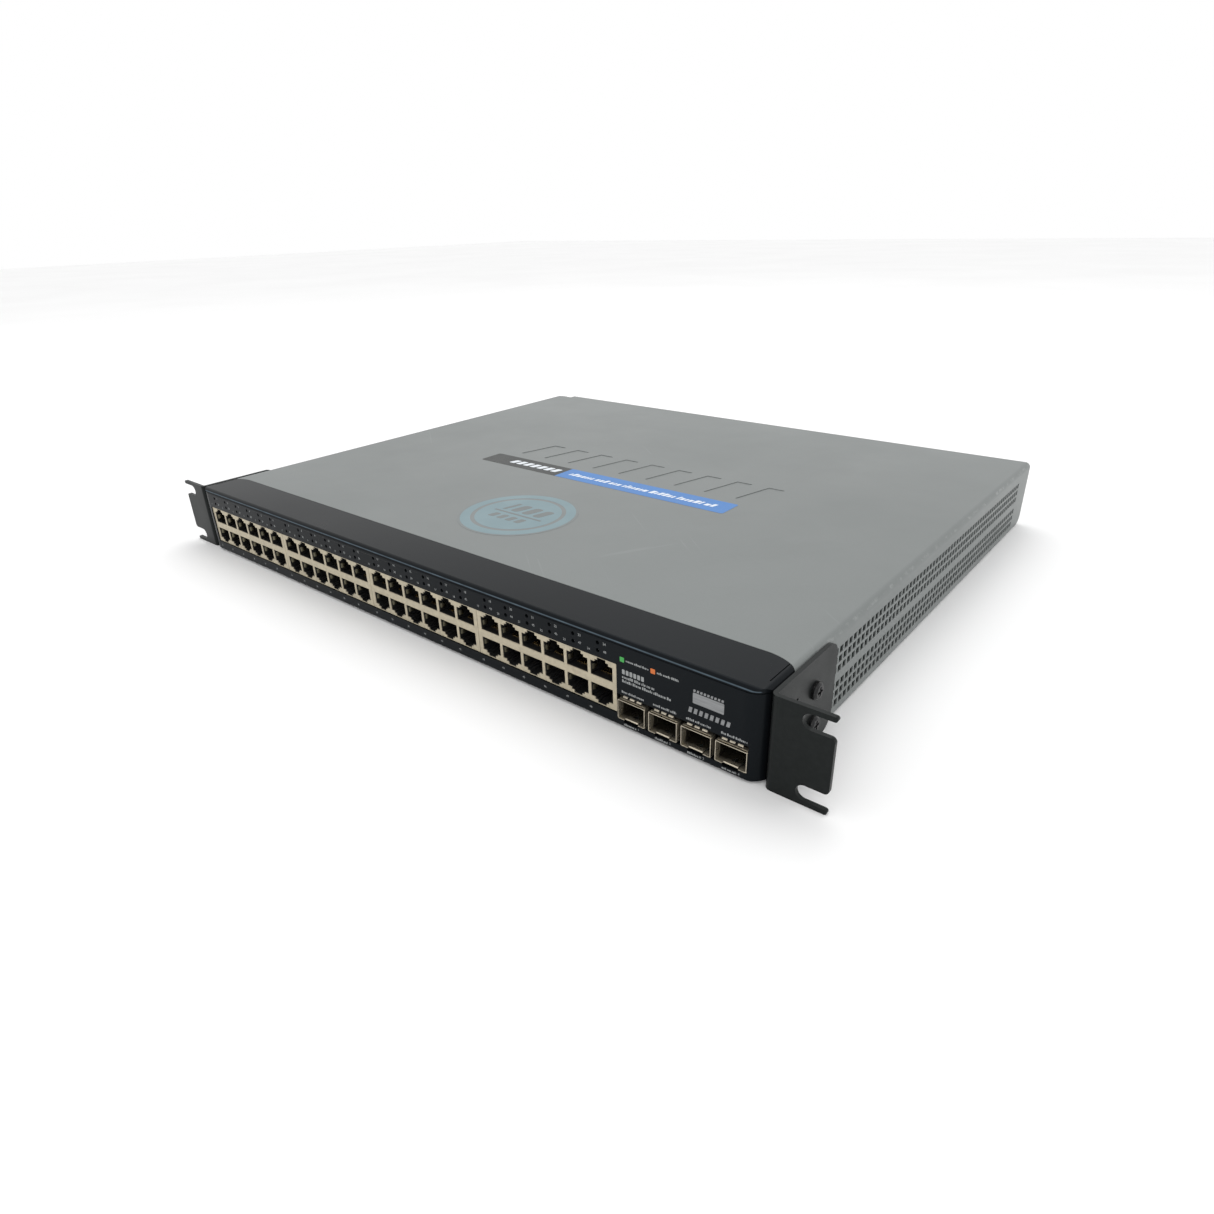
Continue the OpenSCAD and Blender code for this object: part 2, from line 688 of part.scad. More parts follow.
module psu_heat_sinks() place() color(zinc)
    for (x = [98, 160]) translate([x, 262, psu_top])
        block_sink();

// Upright aluminium plate with ribs for the power transistors
module block_sink() linear_extrude(24) union() {
    rect([-1.5, 1.5], [-32, 32]);
    for (i = [-3 : 3]) rect([-6, 1.5], [i * 10 - 0.8, i * 10 + 0.8]);
}

// Mains inlet with a screw flange: the socket opens to the rear
module power_inlet() place() color(black) translate([inlet_x, 0, inlet_z]) union() {
    wall_y = rear_wall_y + sheet;
    difference() {
        union() {
            plate_y(wall_y, 2) round_rect([-25, 25], [-11.2, 11.2], 3);
            block([-13.7, 346, -9.9], [13.7, wall_y + 2, 9.9]);
        }
        plate_y(349, chassis_d)
            polygon([[-12.1, -8.2], [12.1, -8.2], [12.1, 4.2], [8.1, 8.2], [-8.1, 8.2], [-12.1, 4.2]]);
        for (s = [-1, 1]) translate([s * inlet_screw_dx, 340, 0]) rotate([-90, 0, 0]) cylinder(r = 1.7, h = 40);
    }
    for (pin = [[-7, -1.6], [7, -1.6], [0, 2.4]])
        block([pin[0] - 1, 347, pin[1] - 2], [pin[0] + 1, 359.5, pin[1] + 2]);
}

module inlet_screws() place() color(zinc)
    for (s = [-1, 1]) translate([inlet_x + s * inlet_screw_dx, rear_wall_y + sheet + 2, inlet_z])
        rotate([-90, 0, 0]) screw(2.8, 1.8, 1.4, 6);

// Nine-pin console connector: the D-shaped shell opens to the rear
module console_port() place() color(tin) translate([console_x, 0, console_z]) {
    wall_y = rear_wall_y + sheet;
    union() {
        plate_y(wall_y, 0.8) difference() {
            round_rect([-15.4, 15.4], [-6.2, 6.2], 1.2);
            for (s = [-1, 1]) translate([s * console_nut_dx, 0]) circle(1.7);
        }
        block([-9.4, 350, -5.2], [9.4, wall_y, 5.2]);
        plate_y(wall_y + 0.8, 5.2) difference() {
            polygon([[-7.3, -4.2], [7.3, -4.2], [8.5, 4.2], [-8.5, 4.2]]);
            polygon([[-6.9, -3.8], [6.9, -3.8], [8.05, 3.8], [-8.05, 3.8]]);
        }
        for (row = [0, 1], i = [0 : 4 - row])
            translate([(i - 2 + row / 2) * 2.76, wall_y, 1.42 - row * 2.84]) rotate([-90, 0, 0])
                cylinder(r = 0.5, h = 5.2);
    }
}

module console_nuts() place() color(zinc)
    for (s = [-1, 1]) translate([console_x + s * console_nut_dx, rear_wall_y + sheet + 0.8, console_z])
        rotate([-90, 0, 0]) difference() {
            union() {
                cylinder(r = 2.85, h = 5, $fn = 6);
                translate([0, 0, -5]) cylinder(r = 1.6, h = 5.5);
            }
            cylinder(r = console_nut_r, h = 5 + over);
        }

// Square fan frame: Z is the fan's axis, the spokes are at the bottom
module fan_frame(i) place() color(black) fan_pose(i) {
    union() {
        linear_extrude(fan_t) difference() {
            round_rect([-fan_w / 2, fan_w / 2], [-fan_w / 2, fan_w / 2], 2.5);
            circle(fan_bore_r);
            for (a = [-1, 1], b = [-1, 1]) translate([a * fan_hole_c, b * fan_hole_c]) circle(2.1);
        }
        difference() {
            union() {
                cylinder(r = hub_r, h = 2.4);
                cylinder(r = 4, h = 12);
                for (a = [45, 135, 225, 315]) rotate(a) block([hub_r - 1, -1, 0], [fan_bore_r + 0.4, 1, 2]);
            }
            translate([0, 0, -over]) cylinder(r = shaft_r + shaft_clear, h = 20);
        }
    }
}

// The fan's axis points from the inside towards the left side wall
module fan_pose(i)
    translate([fan_face_x + fan_t, fan_y[i], fan_mid_z]) rotate([0, -90, 0]) children();

module fan_rotor(i) place() color([0.12, 0.12, 0.13]) fan_pose(i) {
    cup_z = 3;
    cup_top = fan_t - 1.5;
    difference() {
        union() {
            translate([0, 0, cup_z]) cylinder(r = hub_r, h = cup_top - cup_z);
            intersection() {
                for (k = [0 : blade_count - 1]) rotate(k * 360 / blade_count)
                    translate([hub_r - 0.8, 0, (cup_z + cup_top) / 2]) rotate([38, 0, 0])
                        block([0, -0.6, -8.5], [8, 0.6, 8.5]);
                translate([0, 0, cup_z]) cylinder(r = fan_bore_r - 0.6, h = cup_top - cup_z);
            }
        }
        translate([0, 0, cup_z - over]) cylinder(r = hub_r - 1.2, h = cup_top - cup_z - 1.2 + over);
    }
    translate([0, 0, 0.6]) cylinder(r = shaft_r, h = cup_top - 1);
}

module fan_screws() place() color(zinc)
    for (i = [0, 1], a = [-1, 1], b = [-1, 1]) fan_pose(i)
        translate([a * fan_hole_c, b * fan_hole_c, 0]) rotate([180, 0, 0]) screw(2.6, 1.8, 1.8, fan_t + 0.8);

// Insulated leads from the inlet to the power supply, and from there to the main board
module power_leads() place() color([0.7, 0.15, 0.1]) {
    for (i = [-1 : 1])
        wire([[inlet_x + i * 6, 346, inlet_z], [inlet_x + i * 6, 341.5, inlet_z],
            [inlet_x + i * 6, 341.5, 10.6], [inlet_x + i * 6, 334, 10.6], [inlet_x + i * 6, 334, psu_top]], 1.1);
    for (i = [0 : 4])
        wire([[77 + i * 5, 226, psu_top], [77 + i * 5, 226, 16], [94 + i * 5, 210, 16],
            [94 + i * 5, 185, 16], [94 + i * 5, 185, board_top + 10]], 0.9);
}

module fan_leads() place() color([0.75, 0.2, 0.12])
    for (i = [0, 1], k = [0, 1]) {
        x = (i == 0 ? -172 : -156) + k * 2.2 - 1.2;
        wire([[fan_face_x + fan_t, fan_y[i] - 18 + k * 2.2, 30], [x, fan_y[i] - 18 + k * 2.2, 30],
            [x, 193, 30], [x, 193, board_top + 7]], 0.7);
    }

// Flat ribbon from the console connector to the main board
module console_cable() place() color([0.55, 0.56, 0.58])
    plate_x(console_x - 6, 12) polygon([[350, console_z - 1], [342, console_z - 1], [342, 2.2], [215, 2.2],
        [215, 21], [193, 21], [193, board_top + 8], [192, board_top + 8], [192, 22], [216, 22], [216, 3.2],
        [341, 3.2], [341, console_z], [350, console_z]]);

top_cover();
chassis_base();
front_bezel();
rack_ear_left();
rack_ear_right();
ear_screws();
cover_screws();
strip_label();
round_sticker();
main_board();
board_standoffs();
board_screws();
for (b = [0 : 3]) jack_shell(b);
for (b = [0 : 3]) jack_insert(b);
for (b = [0 : 3]) jack_contacts(b);
for (c = [0 : 3]) sfp_cage(c);
for (c = [0 : 3]) sfp_latch(c);
sfp_sockets();
emi_fingers();
light_pipes();
status_leds();
switch_chips();
chip_heat_sinks();
phy_chips();
line_transformers();
board_capacitors();
board_headers();
psu_board();
psu_standoffs();
psu_insulator();
psu_transformer();
psu_capacitors();
psu_heat_sinks();
power_inlet();
inlet_screws();
console_port();
console_nuts();
for (i = [0, 1]) fan_frame(i);
for (i = [0, 1]) fan_rotor(i);
fan_screws();
power_leads();
fan_leads();
console_cable();
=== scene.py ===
"""Looks of the rackmount network switch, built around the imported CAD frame.

Everything is in metres in the CAD's own frame: X to the right, Y from the front face to the back,
Z up. Places come from the frame's boxes, and small sizes are written in millimetres times MM.
"""

import json
import math
import random

import bmesh
import bpy
from mathutils import Matrix, Vector


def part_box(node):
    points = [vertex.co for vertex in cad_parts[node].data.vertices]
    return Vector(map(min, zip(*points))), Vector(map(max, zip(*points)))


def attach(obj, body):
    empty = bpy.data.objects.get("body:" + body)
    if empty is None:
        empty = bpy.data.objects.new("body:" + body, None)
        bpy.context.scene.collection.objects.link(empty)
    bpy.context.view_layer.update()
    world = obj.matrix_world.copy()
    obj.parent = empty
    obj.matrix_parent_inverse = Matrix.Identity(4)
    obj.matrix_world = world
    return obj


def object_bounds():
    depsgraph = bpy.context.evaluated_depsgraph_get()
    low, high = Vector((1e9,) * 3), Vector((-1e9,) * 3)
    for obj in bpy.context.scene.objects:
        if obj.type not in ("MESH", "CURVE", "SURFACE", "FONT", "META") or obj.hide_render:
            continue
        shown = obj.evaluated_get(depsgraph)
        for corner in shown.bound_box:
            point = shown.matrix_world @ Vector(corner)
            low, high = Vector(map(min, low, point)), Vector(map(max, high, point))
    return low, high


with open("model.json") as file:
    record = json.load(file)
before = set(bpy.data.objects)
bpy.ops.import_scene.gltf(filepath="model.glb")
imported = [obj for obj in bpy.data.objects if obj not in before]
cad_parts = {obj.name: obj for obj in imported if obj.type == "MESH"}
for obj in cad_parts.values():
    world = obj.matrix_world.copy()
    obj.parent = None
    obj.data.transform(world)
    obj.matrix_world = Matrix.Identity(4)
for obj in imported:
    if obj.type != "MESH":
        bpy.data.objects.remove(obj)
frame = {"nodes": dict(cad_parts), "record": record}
CAD_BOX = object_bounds()
NODES = frame["nodes"]
MM = 0.001
draw = random.Random(48)

# Places that many pieces share
FACE_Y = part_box("front_bezel")[0].y
FLOOR_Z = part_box("front_bezel")[0].z
TOP_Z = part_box("top_cover")[1].z
REAR_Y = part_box("top_cover")[1].y
HALF_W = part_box("top_cover")[1].x
BLOCKS = 4
CAGES = 4
BLOCK_MIDS = [sum(corner.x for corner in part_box(f"jack_shell_{b + 1}")) / 2 for b in range(BLOCKS)]
CAGE_MIDS = [sum(corner.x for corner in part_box(f"sfp_cage_{c + 1}")) / 2 for c in range(CAGES)]
JACK_MID_Z = sum(corner.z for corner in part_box("jack_shell_1")) / 2
PORT_PITCH = 13.97 * MM
PORTS_PER_ROW = 6
PRINT_THICKNESS = 0.03 * MM


def port_x(block, port):
    return BLOCK_MIDS[block] + (port - (PORTS_PER_ROW - 1) / 2) * PORT_PITCH


# ---------------------------------------------------------------- camera, floor and lights


def make_camera():
    """A wide view from the right, above the front edge."""
    yaw, pitch, roll = math.radians(39.86), math.radians(-26.26), math.radians(-1.547)
    data = bpy.data.cameras.new("camera")
    data.sensor_width = 36
    data.lens = 23.427
    camera = bpy.data.objects.new("camera", data)
    bpy.context.scene.collection.objects.link(camera)
    camera.matrix_world = (
        Matrix.Translation((0.32599, -0.40702, 0.20014))
        @ Matrix.Rotation(yaw, 4, "Z")
        @ Matrix.Rotation(math.pi / 2 + pitch, 4, "X")
        @ Matrix.Rotation(roll, 4, "Z")
    )
    bpy.context.scene.camera = camera


def area_light(name, place, aim, size, power):
    data = bpy.data.lights.new(name, "AREA")
    data.shape = "DISK"
    data.size = size
    data.energy = power
    light = bpy.data.objects.new(name, data)
    light.location = place
    light.rotation_euler = (Vector(aim) - Vector(place)).to_track_quat("-Z", "Y").to_euler()
    bpy.context.scene.collection.objects.link(light)


def make_studio():
    """A white floor and surround with two large soft lights."""
    scene = bpy.context.scene
    scene.view_settings.view_transform = "Standard"
    scene.world = bpy.data.worlds.new("studio")
    scene.world.use_nodes = True
    surround = scene.world.node_tree.nodes["Background"]
    surround.inputs["Color"].default_value = (1, 1, 1, 1)
    surround.inputs["Strength"].default_value = 1.0
    area_light("top_light", (-0.5, 0.7, 1.5), (0, 0, 0), 1.4, 7)
    area_light("front_light", (0.9, -1.3, 0.9), (0.1, 0, 0), 1.0, 3)

    mesh = bpy.data.meshes.new("floor")
    bm = bmesh.new()
    bmesh.ops.create_grid(bm, x_segments=4, y_segments=4, size=6)
    bm.to_mesh(mesh)
    bm.free()
    floor = bpy.data.objects.new("floor", mesh)
    floor.location.z = CAD_BOX[0].z - 0.05 * MM
    scene.collection.objects.link(floor)
    pale = Finish("floor_paint", roughness=0.75)
    pale.colour(pale.ramp(pale.noise(3), (0.3, (0.93, 0.93, 0.93)), (0.7, (0.96, 0.96, 0.96))))
    floor.data.materials.append(pale.material)


# ---------------------------------------------------------------- materials


class Finish:
    """A node material being built. Each method adds nodes and returns the socket that holds its result."""

    def __init__(
        self, name, roughness=0.5, metallic=0.0, specular=0.5, coat=0.0, transmission=0.0, ior=1.5
    ):
        self.material = bpy.data.materials.new(name)
        self.material.use_nodes = True
        self.tree = self.material.node_tree
        self.shader = self.tree.nodes["Principled BSDF"]
        self.normal = None
        for socket, value in (
            ("Roughness", roughness),
            ("Metallic", metallic),
            ("Specular IOR Level", specular),
            ("Coat Weight", coat),
            ("Transmission Weight", transmission),
            ("IOR", ior),
        ):
            self.shader.inputs[socket].default_value = value
        self.place = self.add("TexCoord").outputs["Object"]

    def add(self, kind, inputs=None, **settings):
        node = self.tree.nodes.new("ShaderNode" + kind)
        for name, value in settings.items():
            setattr(node, name, value)
        for name, value in (inputs or {}).items():
            if isinstance(value, bpy.types.NodeSocket):
                self.tree.links.new(value, node.inputs[name])
            else:
                node.inputs[name].default_value = value
        return node

    def stretched(self, stretch, turn=0.0):
        """The object's own coordinates, turned about Z and scaled per axis."""
        turned = self.add("Mapping", {"Vector": self.place, "Rotation": (0, 0, turn)})
        return self.add("Mapping", {"Vector": turned.outputs[0], "Scale": stretch}).outputs[0]

    def noise(self, scale, detail=2.0, roughness=0.5, stretch=None, turn=0.0):
        where = self.stretched(stretch, turn) if stretch else self.place
        inputs = {"Vector": where, "Scale": scale, "Detail": detail, "Roughness": roughness}
        return self.add("TexNoise", inputs).outputs["Fac"]

    def cells(self, scale, output="Distance", feature="F1"):
        return self.add("TexVoronoi", {"Vector": self.place, "Scale": scale}, feature=feature).outputs[output]

    def axis(self, name):
        return self.add("SeparateXYZ", {"Vector": self.place}).outputs[name]

    def math(self, operation, a, b=0.0):
        node = self.add("Math", operation=operation)
        for index, value in enumerate((a, b)):
            if isinstance(value, bpy.types.NodeSocket):
                self.tree.links.new(value, node.inputs[index])
            else:
                node.inputs[index].default_value = value
        return node.outputs[0]

    def spread(self, value, low, high, to_low=0.0, to_high=1.0):
        inputs = {"Value": value, "From Min": low, "From Max": high, "To Min": to_low, "To Max": to_high}
        return self.add("MapRange", inputs).outputs["Result"]

    def ramp(self, value, *stops):
        node = self.add("ValToRGB", {"Fac": value})
        for index, (position, rgb) in enumerate(stops):
            made = node.color_ramp.elements
            element = made[index] if index < 2 else made.new(position)
            element.position = position
            element.color = (*rgb, 1)
        return node.outputs["Color"]

    def mix(self, factor, a, b):
        node = self.add("Mix", data_type="RGBA")
        for index, value in ((0, factor), (6, a), (7, b)):
            if isinstance(value, bpy.types.NodeSocket):
                self.tree.links.new(value, node.inputs[index])
            else:
                node.inputs[index].default_value = value if index == 0 else (*value, 1)
        return node.outputs[2]

    def colour(self, socket):
        self.tree.links.new(socket, self.shader.inputs["Base Color"])

    def rough(self, socket):
        self.tree.links.new(socket, self.shader.inputs["Roughness"])

    def relief(self, height, depth):
        inputs = {"Height": height, "Distance": depth, "Strength": 1.0}
        if self.normal is not None:
            inputs["Normal"] = self.normal
        self.normal = self.add("Bump", inputs).outputs["Normal"]
        self.tree.links.new(self.normal, self.shader.inputs["Normal"])

    def hairlines(self, scale, turn, amount):
        """Sparse thin scratches along one direction: 1 in a scratch and 0 elsewhere."""
        lines = self.noise(scale, detail=1, stretch=(1, 0.02, 1), turn=turn)
        patches = self.noise(14, detail=2)
        thin = self.spread(lines, amount, amount + 0.03)
        return self.math("MULTIPLY", thin, self.spread(patches, 0.5, 0.62))


def scaled(rgb, factor):
    return tuple(channel * factor for channel in rgb)


def moulded_plastic(name, rgb, roughness=0.45, grain=2200, depth=0.02, dust=0.12, specular=0.5):
    """Fine-textured moulding with a little dust in the texture and uneven gloss."""
    f = Finish(name, specular=specular)
    texture = f.noise(grain, detail=2)
    patches = f.noise(35, detail=3)
    body = f.ramp(patches, (0.3, scaled(rgb, 0.9)), (0.7, scaled(rgb, 1.12)))
    specks = f.spread(f.noise(900, detail=3, roughness=0.7), 0.66, 0.78, 0, dust)
    f.colour(f.mix(specks, body, (0.3, 0.3, 0.3)))
    f.rough(f.spread(patches, 0.3, 0.7, roughness - 0.05, roughness + 0.07))
    f.relief(texture, depth * MM)
    return f.material


def plated_metal(name, rgb, roughness=0.3, drawn=(1, 1, 0.03), scale=1800, depth=0.004, stain=0.9, stains=90):
    """Plated sheet or wire: fine drawn lines, faint stains and uneven gloss."""
    f = Finish(name, metallic=1.0)
    lines = f.noise(scale, detail=2, stretch=drawn)
    patches = f.noise(stains, detail=4, roughness=0.6)
    clean = f.ramp(lines, (0.35, scaled(rgb, 0.94)), (0.65, scaled(rgb, 1.04)))
    f.colour(f.mix(f.spread(patches, 0.52, 0.75), clean, scaled(rgb, stain)))
    f.rough(f.spread(patches, 0.3, 0.7, roughness - 0.06, roughness + 0.1))
    f.relief(lines, depth * MM)
    return f.material


def cover_paint():
    """Satin silver-grey paint over steel: fine flake, orange peel, hairline scratches and long edges
    lightened, partly as wear and partly as a painted highlight.

    The inner faces, seen through the vents, are darkened with painted shade.
    """
    f = Finish("cover_paint", metallic=0.15, specular=0.45)
    grey = (0.168, 0.182, 0.179)
    patches = f.noise(5, detail=3)
    flake = f.noise(2400, detail=1)
    body = f.ramp(patches, (0.3, scaled(grey, 0.965)), (0.7, scaled(grey, 1.035)))
    body = f.mix(f.spread(flake, 0.45, 0.75, 0, 0.16), body, scaled(grey, 1.35))
    scratches = f.math("MAXIMUM", f.hairlines(420, 0.5, 0.74), f.hairlines(500, -0.9, 0.75))
    body = f.mix(f.math("MULTIPLY", scratches, 0.16), body, scaled(grey, 1.6))
    cloud = f.noise(22, detail=5, roughness=0.65, stretch=(1, 0.5, 1), turn=0.7)
    smudges = f.spread(cloud, 0.56, 0.7, 0, 0.09)
    body = f.mix(smudges, body, scaled(grey, 0.6))
    # Lighter along the long top edges: partly wear, partly a painted highlight on the bend.
    near_side = f.spread(f.math("ABSOLUTE", f.axis("X")), HALF_W - 1.6 * MM, HALF_W - 0.3 * MM)
    near_top = f.spread(f.axis("Z"), TOP_Z - 2.5 * MM, TOP_Z - 0.8 * MM)
    wear_and_highlight = f.math("MULTIPLY", near_side, near_top)
    wear_and_highlight = f.math("MULTIPLY", wear_and_highlight, f.spread(f.noise(160, detail=5, roughness=0.7), 0.5, 0.64, 0, 0.45))
    body = f.mix(wear_and_highlight, body, (0.55, 0.56, 0.55))
    # Painted shade: the cover's inner faces are made nearly black where light would not reach.
    across, up = f.math("ABSOLUTE", f.axis("X")), f.axis("Z")
    side = f.math("MULTIPLY", f.spread(across, HALF_W - 0.5 * MM, HALF_W - 0.7 * MM),
                  f.spread(up, TOP_Z - 3.5 * MM, TOP_Z - 3.7 * MM))
    roof = f.math("MULTIPLY", f.spread(across, HALF_W - 3.5 * MM, HALF_W - 3.7 * MM),
                  f.spread(up, TOP_Z - 0.6 * MM, TOP_Z - 0.8 * MM))
    before_rear = f.spread(f.axis("Y"), REAR_Y - 0.5 * MM, REAR_Y - 0.7 * MM)
    inside = f.math("MULTIPLY", f.math("MAXIMUM", side, roof), before_rear)
    f.colour(f.mix(inside, body, (0.03, 0.032, 0.032)))
    f.rough(f.spread(f.noise(11, detail=4), 0.3, 0.7, 0.36, 0.48))
    f.relief(f.noise(850, detail=2), 0.012 * MM)
    f.relief(flake, 0.003 * MM)
    return f.material


def zinc_sheet():
    """Zinc-plated sheet with a faint spangle."""
    f = Finish("zinc_sheet", metallic=0.9)
    spangle = f.cells(240, "Color")
    tone = f.noise(60, detail=4)
    body = f.mix(f.spread(spangle, 0, 1, 0, 0.3), (0.44, 0.45, 0.44), (0.56, 0.57, 0.56))
    f.colour(f.mix(f.spread(tone, 0.5, 0.8, 0, 0.5), body, (0.33, 0.34, 0.33)))
    f.rough(f.spread(tone, 0.3, 0.7, 0.34, 0.5))
    f.relief(f.noise(1300, detail=2), 0.006 * MM)
    return f.material


def bezel_plastic():
    """Blue-black moulding with a fine spark-eroded grain, and a painted highlight along its upper front edge.
    """
    f = Finish("bezel_plastic", specular=0.085)
    f.shader.inputs["Specular Tint"].default_value = (0.8, 0.92, 1, 1)
    patches = f.noise(9, detail=3)
    body = f.ramp(patches, (0.3, (0.0038, 0.0046, 0.0056)), (0.7, (0.0052, 0.0062, 0.0075)))
    dust = f.spread(f.noise(1500, detail=3, roughness=0.75), 0.64, 0.8, 0, 0.1)
    body = f.mix(dust, body, (0.05, 0.05, 0.05))
    # Painted highlight: a thin pale blue band along the upper front edge, uneven along its length.
    height = f.math("SUBTRACT", f.axis("Z"), FLOOR_Z)
    above, below = f.spread(height, 40.7 * MM, 40.9 * MM), f.spread(height, 41.35 * MM, 41.15 * MM)
    highlight_band = f.math("MULTIPLY", above, below)
    highlight_band = f.math("MULTIPLY", highlight_band, f.spread(f.axis("Y"), FACE_Y + 2.4 * MM, FACE_Y + 1.8 * MM))
    uneven = f.spread(f.noise(120, detail=4), 0.3, 0.7, 0.55, 1)
    f.colour(f.mix(f.math("MULTIPLY", highlight_band, uneven), body, (0.085, 0.115, 0.14)))
    f.rough(f.spread(patches, 0.3, 0.7, 0.27, 0.33))
    f.relief(f.noise(2600, detail=2), 0.006 * MM)
    return f.material


def ear_paint():
    """Black powder coat: pebbled, with rubbed spots at the slots."""
    f = Finish("ear_paint", specular=0.14)
    f.shader.inputs["Specular Tint"].default_value = (0.9, 1, 0.98, 1)
    pebbles = f.cells(1500)
    rub = f.spread(f.noise(70, detail=6, roughness=0.72), 0.63, 0.74, 0, 0.3)
    body = f.ramp(f.noise(500, detail=2), (0.3, (0.006, 0.0068, 0.0068)), (0.7, (0.0085, 0.0095, 0.0095)))
    f.colour(f.mix(rub, body, (0.035, 0.037, 0.037)))
    f.rough(f.spread(f.noise(40, detail=3), 0.3, 0.7, 0.3, 0.42))
    f.relief(pebbles, 0.01 * MM)
    return f.material


def black_screw():
    """Black oxide, rubbed bright in places."""
    f = Finish("black_screw", metallic=0.6)
    rub = f.spread(f.noise(900, detail=4, roughness=0.7), 0.55, 0.72, 0, 0.55)
    f.colour(f.mix(rub, (0.018, 0.018, 0.019), (0.16, 0.155, 0.15)))
    f.rough(f.spread(f.noise(600, detail=2), 0.3, 0.7, 0.32, 0.5))
    f.relief(f.noise(3000, detail=2), 0.01 * MM)
    return f.material


def label_print():
    """Printed vinyl: black at the left end, blue for the rest."""
    f = Finish("label_print", specular=0.25)
    low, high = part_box("strip_label")
    split = low.x + (high.x - low.x) * 0.353
    edge = f.spread(f.axis("X"), split - 0.1 * MM, split + 0.1 * MM)
    fade = f.noise(40, detail=3)
    black = f.ramp(fade, (0.3, (0.028, 0.031, 0.029)), (0.7, (0.035, 0.038, 0.036)))
    blue = f.ramp(fade, (0.3, (0.055, 0.185, 0.47)), (0.7, (0.065, 0.21, 0.52)))
    dots = f.spread(f.noise(3200, detail=1), 0.55, 0.75, 0, 0.12)
    f.colour(f.mix(dots, f.mix(edge, black, blue), (0.5, 0.52, 0.55)))
    f.rough(f.spread(fade, 0.3, 0.7, 0.4, 0.5))
    f.relief(f.noise(700, detail=2), 0.006 * MM)
    return f.material


def film(name, low_rgb, high_rgb, roughness=0.45):
    """Thin printed film, slightly uneven."""
    f = Finish(name, specular=0.3)
    f.colour(f.ramp(f.noise(60, detail=4), (0.3, low_rgb), (0.7, high_rgb)))
    f.rough(f.spread(f.noise(25, detail=2), 0.3, 0.7, roughness - 0.05, roughness + 0.05))
    f.relief(f.noise(900, detail=2), 0.005 * MM)
    return f.material


def sticker_film():
    return film("sticker_film", (0.176, 0.192, 0.192), (0.188, 0.206, 0.206))


def circuit_board(name, mask, track):
    """Solder mask over tracks: a fine grid of runs and pads under the colour."""
    f = Finish(name, roughness=0.32, coat=0.2)
    runs = f.spread(f.cells(420, feature="DISTANCE_TO_EDGE"), 0.02, 0.08, 1, 0)
    weave = f.noise(2500, detail=1, stretch=(1, 0.2, 1))
    body = f.mix(f.math("MULTIPLY", runs, 0.6), mask, track)
    f.colour(f.mix(f.spread(weave, 0.5, 0.8, 0, 0.2), body, scaled(mask, 1.5)))
    f.relief(runs, 0.02 * MM)
    return f.material


def board_green():
    return circuit_board("board_green", (0.012, 0.085, 0.035), (0.03, 0.17, 0.07))


def board_brown():
    return circuit_board("board_brown", (0.16, 0.095, 0.035), (0.3, 0.19, 0.08))


def jack_tin():
    """Tinned shield with a warm tint, rolled along its length."""
    f = Finish("jack_tin", metallic=0.55, specular=0.4)
    rolled = f.noise(1500, detail=3, stretch=(0.05, 1, 1))
    mottle = f.noise(420, detail=4, roughness=0.65)
    warm = (0.475, 0.423, 0.315)
    body = f.ramp(mottle, (0.3, scaled(warm, 0.86)), (0.7, scaled(warm, 1.12)))
    body = f.mix(f.spread(rolled, 0.5, 0.75, 0, 0.25), body, scaled(warm, 1.3))
    stain = f.spread(f.noise(120, detail=5, roughness=0.7), 0.58, 0.72, 0, 0.3)
    f.colour(f.mix(stain, body, (0.3, 0.24, 0.16)))
    f.rough(f.spread(mottle, 0.3, 0.7, 0.38, 0.55))
    f.relief(rolled, 0.006 * MM)
    return f.material


def spring_tin():
    """Tin darkened with painted shade, for the springs inside the ports."""
    # Painted shade: a darker copy of the tin, for springs deep in the ports.
    return plated_metal("spring_tin", (0.2, 0.185, 0.13), roughness=0.4, scale=2500, stain=0.6, stains=500)


def jack_plastic():
    return moulded_plastic("jack_plastic", (0.011, 0.011, 0.011), roughness=0.38, grain=3000, depth=0.008)


def contact_gold():
    return plated_metal("contact_gold", (0.78, 0.54, 0.22), roughness=0.24, drawn=(1, 0.05, 1), scale=5000)


def cage_metal():
    """Nickel-plated sheet, warm from the brass under it, and darkened with painted shade deeper behind the
    mouth.
    """
    f = Finish("cage_metal", metallic=0.8)
    warm = (0.6, 0.54, 0.43)
    drawn = f.noise(1600, detail=2, stretch=(1, 0.05, 1))
    stains = f.noise(260, detail=4, roughness=0.6)
    body = f.ramp(drawn, (0.35, scaled(warm, 0.92)), (0.65, scaled(warm, 1.05)))
    body = f.mix(f.spread(stains, 0.52, 0.75), body, scaled(warm, 0.7))
    # Painted shade: the colour darkens with depth behind the cage's mouth.
    shade_behind_mouth = f.spread(f.axis("Y"), FACE_Y + 1.4 * MM, FACE_Y + 4 * MM, 0, 0.92)
    f.colour(f.mix(shade_behind_mouth, body, (0.035, 0.031, 0.021)))
    f.rough(f.spread(stains, 0.3, 0.7, 0.24, 0.38))
    f.relief(drawn, 0.006 * MM)
    return f.material


def socket_plastic():
    return moulded_plastic("socket_plastic", (0.014, 0.014, 0.015), roughness=0.42, grain=1800, depth=0.015)


def pipe_clear():
    """Clear moulded light guide, faintly frosted."""
    f = Finish("pipe_clear", transmission=0.85, ior=1.49)
    frost = f.noise(1500, detail=3)
    f.colour(f.ramp(frost, (0.3, (0.62, 0.66, 0.67)), (0.7, (0.75, 0.79, 0.8))))
    f.rough(f.spread(frost, 0.3, 0.7, 0.08, 0.22))
    f.relief(f.noise(900, detail=2), 0.008 * MM)
    return f.material


def lamp_white():
    white = (0.75, 0.76, 0.66)
    return moulded_plastic("lamp_white", white, roughness=0.35, grain=4000, depth=0.005, dust=0.02)


